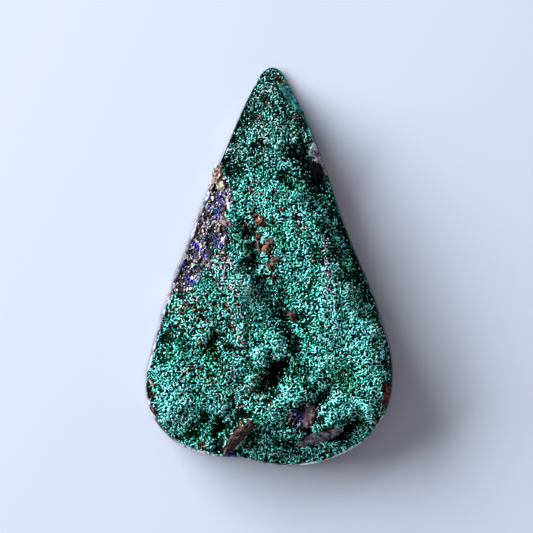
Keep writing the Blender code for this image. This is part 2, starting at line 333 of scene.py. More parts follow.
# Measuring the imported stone


def packed_stone():
    """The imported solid, with the points that its triangles share joined."""
    bm = bmesh.new()
    bm.from_mesh(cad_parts[NODE].data)
    bmesh.ops.remove_doubles(bm, verts=bm.verts, dist=WELD)
    return bm


def is_top(face):
    """Whether a face belongs to the natural top."""
    return face.normal.z > TOP_SLOPE


class Slab:
    """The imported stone, to set pieces on: its natural top, and the rim where that meets the wall."""

    RIM_STEP = 0.06 * MM

    def __init__(self):
        bm = packed_stone()
        self.tree = BVHTree.FromBMesh(bm)
        self.low, self.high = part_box(NODE)
        spots = []
        walls = []
        for edge in bm.edges:
            wall, top = sorted(edge.link_faces, key=is_top)
            if is_top(top) and WALL_SLOPES[0] < wall.normal.z < WALL_SLOPES[1]:
                a, b = (vert.co for vert in edge.verts)
                for share in np.arange(0.0, 1.0, self.RIM_STEP / edge.calc_length()):
                    spots.append(a.lerp(b, share))
                    walls.append(wall.normal)
        bm.free()
        self.rim = np.array(spots)
        self.wall_normal = np.array(walls)
        self.rim_tree = kdtree.KDTree(len(spots))
        for index, (x, y) in enumerate(self.rim[:, :2]):
            self.rim_tree.insert((x, y, 0.0), index)
        self.rim_tree.balance()

    def top_at(self, xy):
        """Points on the natural top straight above or below each place, and the slope's normals there."""
        points = np.zeros((len(xy), 3))
        normals = np.zeros((len(xy), 3))
        for row, (x, y) in enumerate(xy):
            spot, normal, _, _ = self.tree.ray_cast((x, y, self.high.z * 2), (0.0, 0.0, -1.0))
            points[row] = spot or (x, y, 0.0)
            normals[row] = normal or (0.0, 0.0, 1.0)
        return points, normals

    def nearest_rim(self, xy):
        """For each place, which rim point is nearest."""
        return np.array([self.rim_tree.find((x, y, 0.0))[1] for x, y in xy])

    def depth_inside(self, points):
        """How far each point is inside the wall."""
        near = self.nearest_rim(points[:, :2])
        return -np.einsum("ij,ij->i", points - self.rim[near], self.wall_normal[near])


# How far apart in the noise the parts lie that two neighbouring seeds take
SEED_STEP = (3.1, 7.7, 1.9)


def rough(points, wavelength, seed):
    """Smooth noise from -1 to 1 at each point or place."""
    shift = Vector([seed * step for step in SEED_STEP])
    return np.array([noise.noise(Vector(point).to_3d() / wavelength + shift) for point in points])


def ripples(points, *waves):
    """Noise of several waves added up, each with its height, its length in millimetres and its seed."""
    return sum(height * rough(points, length * MM, seed) for height, length, seed in waves)


def distance_to_path(xy, path):
    """Shortest distance from each place to the straight runs between a path's points."""
    nearest = np.full(len(xy), np.inf)
    for start, end in zip(path, path[1:]):
        run = end - start
        along = np.clip((xy - start) @ run / (run @ run), 0.0, 1.0)
        nearest = np.minimum(nearest, np.linalg.norm(xy - start - along[:, None] * run, axis=1))
    return nearest


def depth_in_outline(xy, outline):
    """Distance of each place from an outline, positive inside it."""
    loop = np.vstack((outline, outline[:1]))
    crossings = np.zeros(len(xy), int)
    for (ax, ay), (bx, by) in zip(loop, loop[1:]):
        spans = (ay > xy[:, 1]) != (by > xy[:, 1])
        crossing = ax + (xy[:, 1] - ay) * (bx - ax) / (by - ay if by != ay else 1.0)
        crossings += spans & (xy[:, 0] < crossing)
    return np.where(crossings % 2 == 1, 1.0, -1.0) * distance_to_path(xy, loop)


def smooth_step(values, low, high):
    """Shares that rise smoothly from 0 to 1 as the values rise from low to high."""
    share = np.clip((values - low) / (high - low), 0.0, 1.0)
    return share * share * (3.0 - 2.0 * share)


# Where each mineral lies


def bare_share(xy):
    """How bare of green crust each place is, from 0 to 1, with a ragged edge."""
    depth = depth_in_outline(xy, metres(BARE_ROCK)) + ripples(xy, BARE_WAVE) * MM
    return smooth_step(depth, *metres(BARE_FADE))


def within(xy, path, radius, ragged=0.0):
    """How far inside a spot each place is, from 0 to 1."""
    gap = distance_to_path(xy, metres(path)) + ragged
    return 1.0 - smooth_step(gap, (radius - SPOT_FADE) * MM, (radius + SPOT_FADE) * MM)


def spot_cover(xy, spots):
    """How much of each place one mineral takes, and its tone there."""
    ragged = ripples(xy, SPOT_WAVE) * MM
    share = np.zeros(len(xy))
    tone = np.full(len(xy), 0.5)
    for path, radius, amount, spot_tone in spots:
        cover = amount * within(xy, path, radius, ragged)
        tone = np.where(cover > share, spot_tone, tone)
        share = np.maximum(share, cover)
    return share, tone


def turn_about_z(degrees):
    """The rotation that turns a piece, seen from above."""
    along, across = math.cos(math.radians(degrees)), math.sin(math.radians(degrees))
    return np.array(((along, -across, 0.0), (across, along, 0.0), (0.0, 0.0, 1.0)))


def on_chip(xy):
    """Which places lie on a chip of rock."""
    covered = np.zeros(len(xy), bool)
    for middle, length, width, turn, _ in CHIPS.values():
        gaps = (xy - metres(middle)) @ turn_about_z(turn)[:2, :2]
        shares = gaps / metres((length - UNDER_CHIP, width - UNDER_CHIP))
        covered |= (shares ** 2).sum(axis=1) < 1.0
    return covered


MINERALS = ("malachite", "azurite", "iron", "matrix")


def minerals_at(xy, rng):
    """For each grain, which mineral it is, as a place in MINERALS, and its tone."""
    bare = bare_share(xy)
    kinds = np.zeros(len(xy), int)
    vivid = np.max([within(xy, path, radius) for path, radius in VIVID_GREEN], axis=0)
    tones = GREEN_TONE + ripples(xy, *GREEN_WAVES) + VIVID_SHIFT * vivid
    for place, (name, wave) in enumerate(zip(MINERALS[1:], STRAY_WAVES), 1):
        share, tone = spot_cover(xy, SPOTS[name])
        in_spot = share > rng.random(len(xy))
        in_mix = np.where(bare > 0.5, BARE_MIX[name], CRUST_MIX[name]) > rng.random(len(xy))
        chosen = (kinds == 0) & (in_spot | in_mix)
        kinds[chosen] = place
        tones[chosen] = np.where(in_spot, tone, STRAY_TONE + ripples(xy, wave))[chosen]
    return kinds, np.clip(tones + rng.normal(0.0, TONE_SPREAD, len(xy)), 0.0, 1.0)


def dullness(xy):
    """How dull and grey-green the malachite is: most at the tip, and in weathered patches."""
    tip = smooth_step(xy[:, 1], *metres(DULL_FROM))
    return np.clip(DULL_BASE + DULL_TIP * tip + ripples(xy, DULL_WAVE), 0.0, 1.0)


# Building meshes and materials

# The gap round a piece that fills its UV square
MAP_MARGIN = 0.01

# How rough the noise of the materials is, and where a mix node keeps its share, its two colours and
# their mixture
NOISE_ROUGHNESS = 0.6
MIX_INPUTS = (0, 6, 7)
MIX_OUTPUT = 2


def colour_of(settings, colour):
    """A colour that is given by its numbers, or by the name of the setting that holds it."""
    return tuple(getattr(settings, colour)) if isinstance(colour, str) else colour


def attribute(mesh, name, values):
    """Store one number a point under a name that a material reads."""
    mesh.attributes.new(name, "FLOAT", "POINT").data.foreach_set("value", np.asarray(values, np.float32))


def store_map(mesh, places):
    """Store a UV map with one place for each face corner."""
    layer = mesh.uv_layers.new(name="OFBake")
    layer.data.foreach_set("uv", np.asarray(places, np.float32).ravel())


def corner_points(mesh):
    """The point at each face corner."""
    points = np.empty(len(mesh.vertices) * 3)
    mesh.vertices.foreach_get("co", points)
    corners = np.empty(len(mesh.loops), np.int32)
    mesh.loops.foreach_get("vertex_index", corners)
    return points.reshape(-1, 3)[corners]


def map_from_above(mesh):
    """A UV map that looks straight down on the piece and fills the square."""
    places = corner_points(mesh)[:, :2]
    low = places.min(axis=0)
    span = (places.max(axis=0) - low).max()
    store_map(mesh, MAP_MARGIN + (1.0 - 2 * MAP_MARGIN) * (places - low) / span)


def add_piece(name, mesh, material):
    """Link a finished mesh as a piece that rides on the stone's body."""
    mesh.materials.append(material)
    piece = bpy.data.objects.new(name, mesh)
    bpy.context.scene.collection.objects.link(piece)
    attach(piece, "root")
    return piece


def mesh_from_arrays(name, points, triangles):
    """A mesh of triangles from an array of points and an array of corners, lowest triangles first."""
    triangles = triangles[np.argsort(points[triangles, 2].mean(axis=1), kind="stable")]
    mesh = bpy.data.meshes.new(name)
    mesh.vertices.add(len(points))
    mesh.vertices.foreach_set("co", points.astype(np.float32).ravel())
    mesh.loops.add(triangles.size)
    mesh.loops.foreach_set("vertex_index", triangles.astype(np.int32).ravel())
    mesh.polygons.add(len(triangles))
    mesh.polygons.foreach_set("loop_start", np.arange(0, triangles.size, 3, dtype=np.int32))
    mesh.update(calc_edges=True)
    mesh.validate()
    map_from_above(mesh)
    return mesh


class Finish:
    """A material under construction: its shader, and short ways to add and join nodes."""

    def __init__(self, name, settings, roughness, shine=0.1):
        self.settings = settings
        self.material = bpy.data.materials.new(name)
        self.material.use_nodes = True
        self.nodes = self.material.node_tree.nodes
        self.links = self.material.node_tree.links
        self.shader = self.nodes["Principled BSDF"]
        self.set("Roughness", roughness)
        self.set("Specular IOR Level", shine)

    def set(self, socket, value):
        """Give one of the shader's sockets a value that is the same all over."""
        self.shader.inputs[socket].default_value = value

    def use(self, socket, output):
        """Feed one of the shader's sockets from a node."""
        self.links.new(output, self.shader.inputs[socket])

    def attribute(self, name, output="Fac"):
        """What the mesh stores under a name."""
        node = self.nodes.new("ShaderNodeAttribute")
        node.attribute_name = name
        return node.outputs[output]

    def noise(self, scale, detail=4.0, stretch=(1.0, 1.0, 1.0)):
        """Smooth noise in the object's own space, with a scale in waves a metre."""
        place = self.nodes.new("ShaderNodeTexCoord")
        mapping = self.nodes.new("ShaderNodeMapping")
        mapping.inputs["Scale"].default_value = stretch
        node = self.nodes.new("ShaderNodeTexNoise")
        node.inputs["Scale"].default_value = scale
        node.inputs["Detail"].default_value = detail
        node.inputs["Roughness"].default_value = NOISE_ROUGHNESS
        self.links.new(place.outputs["Object"], mapping.inputs["Vector"])
        self.links.new(mapping.outputs["Vector"], node.inputs["Vector"])
        return node.outputs["Fac"]

    def flecks(self, scale, detail):
        """Fine noise about zero, which lightens and darkens by up to a quarter."""
        return self.math("MULTIPLY", self.math("SUBTRACT", self.noise(scale, detail), 0.5), 0.5)

    def ramp(self, factor, stops):
        """A colour that runs through stops, each with its place and its colour."""
        node = self.nodes.new("ShaderNodeValToRGB")
        elements = node.color_ramp.elements
        while len(elements) < len(stops):
            elements.new(0.5)
        for element, (position, colour) in zip(elements, stops):
            element.position = position
            element.color = (*colour_of(self.settings, colour), 1.0)
        self.links.new(factor, node.inputs["Fac"])
        return node.outputs["Color"]

    def share(self, factor, low, high):
        """A share that rises from 0 to 1 as the factor rises from low to high."""
        node = self.nodes.new("ShaderNodeMapRange")
        node.inputs["From Min"].default_value = low
        node.inputs["From Max"].default_value = high
        self.links.new(factor, node.inputs["Value"])
        return node.outputs["Result"]

    def math(self, operation, first, second):
        """Two numbers put together; either may be a node's output."""
        node = self.nodes.new("ShaderNodeMath")
        node.operation = operation
        for socket, value in zip(node.inputs, (first, second)):
            if isinstance(value, (int, float)):
                socket.default_value = value
            else:
                self.links.new(value, socket)
        return node.outputs["Value"]

    def mix(self, factor, first, second, blend="MIX"):
        """Two colours mixed by a share; each of the three may be a node's output."""
        node = self.nodes.new("ShaderNodeMix")
        node.data_type = "RGBA"
        node.blend_type = blend
        for index, value in zip(MIX_INPUTS, (factor, first, second)):
            if isinstance(value, float):
                node.inputs[index].default_value = value
            elif isinstance(value, (tuple, str)):
                node.inputs[index].default_value = (*colour_of(self.settings, value), 1.0)
            else:
                self.links.new(value, node.inputs[index])
        return node.outputs[MIX_OUTPUT]

    def bump(self, height, strength, distance):
        """Small relief on the surface."""
        node = self.nodes.new("ShaderNodeBump")
        node.inputs["Distance"].default_value = distance
        self.links.new(strength, node.inputs["Strength"])
        self.links.new(height, node.inputs["Height"])
        self.use("Normal", node.outputs["Normal"])


# Host stone


class StoneSettings(bpy.types.PropertyGroup):
    fine_cuts: bpy.props.IntProperty(
        name="Fine cuts", description="Cuts in each edge of the packed natural top", default=4, min=1, max=6)
    crust_thickness: bpy.props.FloatProperty(
        name="Crust thickness", description="How far the rock lies under the crust's tips",
        default=0.5 * MM, unit="LENGTH")
    rock_colour: bpy.props.FloatVectorProperty(
        name="Rock colour", description="Middle colour of the ground walls and back", subtype="COLOR",
        default=(0.20, 0.19, 0.20))
    stain_colour: bpy.props.FloatVectorProperty(
        name="Stain colour", description="Colour of the rust stains on the walls and back",
        subtype="COLOR", default=(0.15, 0.075, 0.04))
    band_colour: bpy.props.FloatVectorProperty(
        name="Band colour", description="Light colour of the green bands in the rock", subtype="COLOR",
        default=(0.08, 0.28, 0.22))
    worn_colour: bpy.props.FloatVectorProperty(
        name="Worn colour", description="Light colour of the rock's worn rim", subtype="COLOR",
        default=(0.37, 0.36, 0.385))


# Colours of the host rock: its top under the crust, painted near-black there as shade in the gaps
# between the grains, its walls and back, its worn rim, and the bands of green in it.  A colour that is
# given by name is the setting's.
UNDER_ROCK_AND_PAINTED_SHADE = ((0.35, (0.002, 0.001, 0.002)), (0.55, (0.015, 0.012, 0.014)), (0.75, (0.10, 0.08, 0.088)))
GREEN_GAPS_PAINTED_SHADE = (0.001, 0.010, 0.006)
RUSTY_GAPS = (0.07, 0.03, 0.02)
GROUND_ROCK = ((0.32, (0.045, 0.04, 0.045)), (0.46, (0.15, 0.14, 0.145)), (0.56, "rock_colour"),
               (0.68, (0.29, 0.27, 0.27)))
BLUE_STAIN = (0.02, 0.022, 0.13)
WORN_RIM = ((0.38, (0.11, 0.105, 0.11)), (0.50, "worn_colour"))
GREEN_BANDS = ((0.35, (0.003, 0.04, 0.026)), (0.55, (0.014, 0.13, 0.09)), (0.70, "band_colour"))

# The noises that they follow: waves a metre, detail and stretch
UNDER_NOISE = (1100.0,)
PATCHY_NOISE = (1300.0, 4.0)
WORN_NOISE = (1500.0,)
GROUND_NOISE = (380.0, 8.0)
FLECKS = (2600.0, 4.0)
BANDS_NOISE = (900.0, 2.0, (1.0, 0.3, 1.0))
RUST_NOISE = (230.0, 8.0, (1.0, 1.0, 2.4))
GREEN_NOISE = (210.0, 9.0, (1.0, 1.0, 2.8))
BLUE_NOISE = (640.0, 6.0)

# Between which of its noise's levels each of these sets in
PATCHY_FROM = (0.42, 0.56)
RUST_FROM = (0.54, 0.74)
GREEN_FROM = (0.57, 0.70)
BLUE_FROM = (0.67, 0.74)

# How far the crust's green runs down the wall: a wavy length up to GREEN_RUN, less GREEN_CUT, with a
# fading end
RUN_NOISE = (600.0, 6.0)
GREEN_RUN = 2.6 * MM
GREEN_CUT = 1.0 * MM
GREEN_FADE = 0.15 * MM

# The grinding marks: their noise, how strong they are and how deep
MARK_NOISE = (160.0, 3.0, (1.0, 1.0, 45.0))
MARK_STRENGTH = 0.35
MARK_DEPTH = 0.05 * MM


def green_edge(finish):
    """Where the crust's green runs down the ground wall: wavily along the rim, and over one stretch."""
    place = finish.nodes.new("ShaderNodeTexCoord")
    split = finish.nodes.new("ShaderNodeSeparateXYZ")
    finish.links.new(place.outputs["Object"], split.inputs["Vector"])
    below = finish.math("SUBTRACT", finish.attribute("rim_height"), split.outputs["Z"])
    wavy = finish.math("MULTIPLY", finish.noise(*RUN_NOISE), GREEN_RUN)
    edge = finish.share(finish.math("SUBTRACT", below, wavy), GREEN_FADE - GREEN_CUT, -GREEN_CUT)
    edge = finish.math("MULTIPLY", edge, finish.attribute("crusted"))
    return finish.math("MAXIMUM", edge, finish.attribute("coated"))


def ground_rock(finish, flecks, bands):
    """The rock of the walls and the back, with stains of rust and blue and veins of green."""
    rock = finish.ramp(finish.math("ADD", finish.noise(*GROUND_NOISE), flecks), GROUND_ROCK)
    rust = finish.share(finish.noise(*RUST_NOISE), *RUST_FROM)
    rock = finish.mix(rust, rock, "stain_colour")
    green = finish.share(finish.noise(*GREEN_NOISE), *GREEN_FROM)
    rock = finish.mix(green, rock, bands)
    blue = finish.share(finish.noise(*BLUE_NOISE), *BLUE_FROM)
    rock = finish.mix(blue, rock, BLUE_STAIN)
    return finish.mix(green_edge(finish), rock, bands)


def rock_top(finish, bands):
    """The rock under the crust: painted near-black as shade in the gaps, patchy green at the margin and pale
    where it is worn.
    """
    # The rock under the grains: its own dark colour, painted darker still as shade in the gaps
    top = finish.ramp(finish.noise(*UNDER_NOISE), UNDER_ROCK_AND_PAINTED_SHADE)
    # Under the crust the rock is painted near-black green, as shade in the gaps between the grains
    top = finish.mix(finish.attribute("crusted"), top, GREEN_GAPS_PAINTED_SHADE)
    top = finish.mix(finish.attribute("rusty"), top, RUSTY_GAPS)
    margin = finish.math("MULTIPLY", finish.attribute("margin"), finish.attribute("crusted"))
    patchy = finish.share(finish.noise(*PATCHY_NOISE), *PATCHY_FROM)
    top = finish.mix(finish.math("MULTIPLY", margin, patchy), top, bands)
    return finish.mix(finish.attribute("worn"), top, finish.ramp(finish.noise(*WORN_NOISE), WORN_RIM))


def host_rock(settings):
    """Rough rock under the crust, painted near-black as shade in its gaps, and smoother banded rock where it
    is ground.
    """
    finish = Finish("host rock", settings, roughness=0.8)
    flecks = finish.flecks(*FLECKS)
    banding = finish.math("ADD", finish.noise(*BANDS_NOISE), flecks)
    bands = finish.ramp(banding, GREEN_BANDS)
    ground = finish.attribute("ground")
    top = rock_top(finish, bands)
    finish.use("Base Color", finish.mix(ground, top, ground_rock(finish, flecks, bands)))
    marks = finish.noise(*MARK_NOISE)
    finish.bump(marks, finish.math("MULTIPLY", ground, MARK_STRENGTH), MARK_DEPTH)
    return finish.material


# Places of the host stone's three views in its UV map: metres across the square, gaps, where the back
# starts, and the strips of wall.  A face whose normal drops below BACK_SLOPE is the back.
MAP_SPAN = 67.0 * MM
MAP_GAP = 0.02
BACK_SLOPE = -0.9
BACK_FROM = 0.5
WALL_STRIPS = 2
STRIP_HEIGHT = 0.11
STRIPS_FROM = 0.77


def host_map(mesh, slab):
    """A UV map with the top and the back side by side, and the wall as two strips above them."""
    points = corner_points(mesh)
    low = np.array(slab.low)
    normals = np.empty(len(mesh.polygons) * 3)
    mesh.polygons.foreach_get("normal", normals)
    normals = np.repeat(normals.reshape(-1, 3), 3, axis=0)
    places = MAP_GAP / 2 + (points[:, :2] - low[:2]) / MAP_SPAN
    under = normals[:, 2] < BACK_SLOPE
    places[under, 0] += BACK_FROM
    ground = np.empty(len(mesh.polygons))
    mesh.attributes["ground"].data.foreach_get("value", ground)
    wall = (np.repeat(ground, 3) > 0.5) & ~under
    middles = np.repeat(points.reshape(-1, 3, 3).mean(axis=1), 3, axis=0)
    around = np.arctan2(middles[:, 1], middles[:, 0])
    turn = np.arctan2(points[:, 1], points[:, 0])
    turn = around + (turn - around + math.pi) % math.tau - math.pi
    share = (turn + math.pi) / math.tau * WALL_STRIPS
    strip = np.clip(np.floor((around + math.pi) / math.tau * WALL_STRIPS), 0, WALL_STRIPS - 1)
    across = MAP_GAP + (share - strip) * (1.0 - 2 * MAP_GAP)
    up = STRIPS_FROM + strip * STRIP_HEIGHT + points[:, 2] / slab.high.z * (STRIP_HEIGHT - MAP_GAP)
    places[wall] = np.column_stack((across, up))[wall]
    store_map(mesh, places)


# The rock's top, in millimetres: where it starts and ends to step down from the crust's edge, the waves
# of its grit and the share of them at that edge, its least height over the back, and how wide the rim's
# green margin and its worn edge are.  The rock of the bare patch steps down less by BARE_RISE.  Bends
# sharper than SHARP_ANGLE are shaded as edges.
CRUST_STEP = (-0.05, 0.25)
BARE_RISE = 0.3
GRIT = ((0.10, 0.35, 3), (0.16, 0.8, 4))
EDGE_GRIT = 0.15
THINNEST_ROCK = 0.3
RIM_WIDTH = 0.3
WORN_WIDTH = 0.12
SHARP_ANGLE = math.radians(40.0)


def host_marks(mesh, slab, points):
    """Store what the rock's colours follow: the crust, rust, worn rim, green margin and coated wall."""
    xy = points[:, :2]
    depth = slab.depth_inside(points)
    margin = edge_margin(xy)
    pale = np.max([within(xy, path, radius) for path, radius, _ in WORN_EDGES], axis=0)
    # Where the crust covers the rock, which also marks where the rock is painted near-black as shade
    attribute(mesh, "crusted", 1.0 - bare_share(xy))
    attribute(mesh, "rusty", spot_cover(xy, SPOTS["iron"])[0])
    attribute(mesh, "worn", pale * (1.0 - smooth_step(depth, margin, margin + WORN_WIDTH * MM)))
    attribute(mesh, "margin", 1.0 - smooth_step(depth, 0.0, RIM_WIDTH * MM))
    attribute(mesh, "rim_height", slab.rim[slab.nearest_rim(xy), 2])
    attribute(mesh, "coated", within(xy, *COATED_WALL))


def host_mesh(slab, settings):
    """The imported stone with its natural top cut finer, sunk under the crust and roughened."""
    bm = packed_stone()
    edges = list({edge for face in bm.faces if is_top(face) for edge in face.edges})
    bmesh.ops.subdivide_edges(bm, edges=edges, cuts=settings.fine_cuts, use_grid_fill=True)
    bm.verts.index_update()
    bm.normal_update()
    ground = bm.faces.layers.float.new("ground")
    for face in bm.faces:
        face[ground] = 0.0 if is_top(face) else 1.0
    on_top = np.array([any(is_top(face) for face in vert.link_faces) for vert in bm.verts])
    on_wall = np.array([any(not is_top(face) for face in vert.link_faces) for vert in bm.verts])
    points = np.array([vert.co for vert in bm.verts])
    margin = edge_margin(points[:, :2])
    covered = smooth_step(slab.depth_inside(points), *(margin + step * MM for step in CRUST_STEP))
    sink = settings.crust_thickness * (1.0 - BARE_RISE * bare_share(points[:, :2])) * covered
    grit = (EDGE_GRIT + (1.0 - EDGE_GRIT) * covered) * ripples(points, *GRIT)
    hollow = SWELL_HEIGHT * np.minimum(swells(points), 0.0) * covered
    inside = on_top & ~on_wall
    points[inside, 2] += (grit + hollow)[inside] * MM - sink[inside]
    points[on_top, 2] = np.maximum(points[on_top, 2], THINNEST_ROCK * MM)
    for vert, point in zip(bm.verts, points):
        vert.co = point
    mesh = bpy.data.meshes.new("host_stone")
    bmesh.ops.triangulate(bm, faces=bm.faces)
    for face in bm.faces:
        face.smooth = True
    for edge in bm.edges:
        first, second = edge.link_faces
        edge.smooth = first[ground] == second[ground] and edge.calc_face_angle() < SHARP_ANGLE
    bm.to_mesh(mesh)
    bm.free()
    host_marks(mesh, slab, points)
    host_map(mesh, slab)
    return mesh


class SPECIMEN_OT_host_stone(bpy.types.Operator):
    """Make the rock that carries the crust, with its ground wall and back"""

    bl_idname = "specimen.host_stone"
    bl_label = "Host Stone"

    def execute(self, context):
        settings = context.scene.specimen_stone
        piece = add_piece("host_stone", host_mesh(Slab(), settings), host_rock(settings))
        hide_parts(NODE)
        return {"FINISHED"}


# Grains of the crust


class GrainSettings(bpy.types.PropertyGroup):
    nodule_spacing: bpy.props.FloatProperty(
        name="Nodule spacing", description="Distance between the rounded nodules on the rock",
        default=0.46 * MM, unit="LENGTH")
    nodule_radius: bpy.props.FloatProperty(
        name="Nodule radius", description="Middle radius of a nodule", default=0.27 * MM, unit="LENGTH")
    strand_spacing: bpy.props.FloatProperty(
        name="Strand spacing", description="Distance between the curved strands over the nodules",
        default=0.275 * MM, unit="LENGTH")
    strand_radius: bpy.props.FloatProperty(
        name="Strand radius", description="Middle radius of a strand", default=0.08 * MM, unit="LENGTH")
    bead_spacing: bpy.props.FloatProperty(
        name="Bead spacing", description="Distance between the fine beads on the strands",
        default=0.55 * MM, unit="LENGTH")
    bead_radius: bpy.props.FloatProperty(
        name="Bead radius", description="Middle radius of a bead", default=0.085 * MM, unit="LENGTH")
    malachite_colour: bpy.props.FloatVectorProperty(
        name="Malachite", description="Middle colour of the blue-green malachite", subtype="COLOR",
        default=(0.115, 0.56, 0.495))
    vivid_colour: bpy.props.FloatVectorProperty(
        name="Vivid malachite", description="Middle colour of the vivid green malachite",
        subtype="COLOR", default=(0.03, 0.46, 0.24))
    azurite_colour: bpy.props.FloatVectorProperty(
        name="Azurite", description="Middle colour of the azurite", subtype="COLOR",
        default=(0.008, 0.010, 0.22))
    iron_colour: bpy.props.FloatVectorProperty(
        name="Iron oxide", description="Middle colour of the iron oxide", subtype="COLOR",
        default=(0.12, 0.05, 0.034))
    matrix_colour: bpy.props.FloatVectorProperty(
        name="Matrix", description="Middle colour of the grey matrix", subtype="COLOR",
        default=(0.28, 0.25, 0.27))


class HeightMap:
    """The highest point over each small square of the stone's box, and of a margin of squares round it."""

    STEP = 0.09 * MM
    MARGIN = 4

    def __init__(self, slab):
        self.origin = np.array(slab.low)[:2] - self.MARGIN * self.STEP
        span = np.array(slab.high)[:2] - self.origin + self.MARGIN * self.STEP
        self.heights = np.zeros(np.ceil(span / self.STEP).astype(int) + 1)

    def cells(self, xy):
        """The squares that the places are in."""
        cell = ((xy - self.origin) / self.STEP).astype(int)
        return tuple(np.clip(cell.T, 0, np.array(self.heights.shape)[:, None] - 1))

    def raise_to(self, points):
        """Raise each square to the points in it that stand higher."""
        np.maximum.at(self.heights, self.cells(points[:, :2]), points[:, 2])

    def close_gaps(self):
        """Give each square the highest of itself and its neighbours."""
        for axis in (0, 1):
            self.heights = np.maximum.reduce([np.roll(self.heights, turn, axis) for turn in (-1, 0, 1)])

    def softened(self, cells):
        """Each height averaged, twice over, with those of the covered squares some cells round it."""
        covered = (self.heights > 0.0).astype(float)
        total = self.heights
        for axis in (0, 1, 0, 1):
            total = sum(np.roll(total, turn, axis) for turn in range(-cells, cells + 1))
            covered = sum(np.roll(covered, turn, axis) for turn in range(-cells, cells + 1))
        return total / np.maximum(covered, 1.0)


# How close the bumps of a lump lie, and how far apart in the noise the lumps are taken from
LUMP_BUMPS = 1.7
LUMP_SHIFT = 50.0


def lump_shapes(rng, count, detail, unevenness):
    """Uneven unit lumps: an icosphere's points pushed in and out, and its triangles."""
    bm = bmesh.new()
    bmesh.ops.create_icosphere(bm, subdivisions=detail, radius=1.0)
    ball = np.array([vert.co for vert in bm.verts])
    triangles = np.array([[vert.index for vert in face.verts] for face in bm.faces])
    bm.free()
    shapes = []
    for _ in range(count):
        shift = Vector(rng.uniform(-LUMP_SHIFT, LUMP_SHIFT, 3))
        push = np.array([noise.noise(Vector(point) * LUMP_BUMPS + shift) for point in ball])
        shapes.append(ball * (1.0 + unevenness * push)[:, None])
    return np.array(shapes), triangles


# A strand's rings and sides, how its thickness varies, and how far it wanders up and down in radii
STRAND_RINGS = 5
STRAND_SIDES = 4
STRAND_THICKNESS = (0.75, 1.3)
STRAND_WANDER = 0.3
TINY = 1e-9


def tubes(rng, lines, radii):
    """Closed tubes about flat middle lines: rings of points between the two end points."""
    run = np.gradient(lines, axis=1)
    run /= np.linalg.norm(run, axis=2, keepdims=True) + TINY
    share = np.linspace(-1.0, 1.0, STRAND_RINGS + 2)
    thickness = np.sqrt(1.0 - share * share) * rng.uniform(*STRAND_THICKNESS, lines.shape[:2])
    thickness *= radii[:, None]
    middles = np.dstack((lines, STRAND_WANDER * radii[:, None] * rng.normal(size=lines.shape[:2])))
    rings = []
    for angle in np.arange(STRAND_SIDES) * math.tau / STRAND_SIDES:
        out = np.dstack((-run[:, :, 1] * math.cos(angle), run[:, :, 0] * math.cos(angle),
                         np.full(lines.shape[:2], math.sin(angle))))
        rings.append(middles + thickness[:, :, None] * out)
    rings = np.stack(rings, axis=2)[:, 1:-1].reshape(len(lines), -1, 3)
    return np.concatenate((middles[:, :1], rings, middles[:, -1:]), axis=1)


def strand_faces():
    """Triangles between a strand's rings, with a fan at each end."""
    last = 1 + STRAND_RINGS * STRAND_SIDES
    faces = []
    for side in range(STRAND_SIDES):
        after = (side + 1) % STRAND_SIDES
        faces.append((0, 1 + after, 1 + side))
        for ring in range(STRAND_RINGS - 1):
            a = 1 + ring * STRAND_SIDES + side
            b = 1 + ring * STRAND_SIDES + after
            faces.append((a, b, b + STRAND_SIDES))
            faces.append((a, b + STRAND_SIDES, a + STRAND_SIDES))
        faces.append((last, last - STRAND_SIDES + side, last - STRAND_SIDES + after))
    return np.array(faces)


# How far apart the rows of a triangular grid lie, and how far its places are shaken, in spacings
ROW_STEP = math.sqrt(0.75)
SHAKE = 0.42


def scattered(rng, slab, spacing):
    """Places on the stone's outline at about the given spacing, in a shaken triangular grid."""
    xs = np.arange(slab.low.x, slab.high.x, spacing)
    ys = np.arange(slab.low.y, slab.high.y, spacing * ROW_STEP)
    grid = np.array([(x + spacing * 0.5 * (row % 2), y) for row, y in enumerate(ys) for x in xs])
    grid += rng.uniform(-SHAKE, SHAKE, grid.shape) * spacing
    return grid


def turned(rng, grains):
    """Each grain turned any way."""
    axes = rng.normal(size=(len(grains), 3, 3))
    first = axes[:, 0] / np.linalg.norm(axes[:, 0], axis=1, keepdims=True)
    second = np.cross(first, axes[:, 1])
    second /= np.linalg.norm(second, axis=1, keepdims=True)
    return np.einsum("nji,nkj->nki", np.stack((first, second, np.cross(first, second)), axis=1), grains)


# How far the grains keep from the wall and over the surface that the stone lies on, in millimetres
WALL_GAP = 0.02
FLOOR_GAP = 0.05


def ground_off(slab, grains, centres, jut=0.0):
    """Keep every grain inside the ground wall, or jutting out by so much, and under the stone's top."""
    near = slab.nearest_rim(centres[:, :2])
    out = np.einsum("nkj,nj->nk", grains - slab.rim[near][:, None, :], slab.wall_normal[near]) - jut
    grains -= np.maximum(out + WALL_GAP * MM, 0.0)[:, :, None] * slab.wall_normal[near][:, None, :]
    grains[:, :, 2] = np.clip(grains[:, :, 2], slab.low.z + FLOOR_GAP * MM, slab.high.z)
    return grains


def edge_margin(xy):
    """How far the crust stops short of the edge at each place."""
    margin = EDGE_MARGIN + ripples(xy, EDGE_WAVE)
    for path, radius, added in WORN_EDGES:
        margin += added * within(xy, path, radius)
    return margin * MM


# The crust's lowest level, in millimetres, and the steepest slope that its grains follow
LOWEST_TOP = 0.35
STEEPEST = 1.2


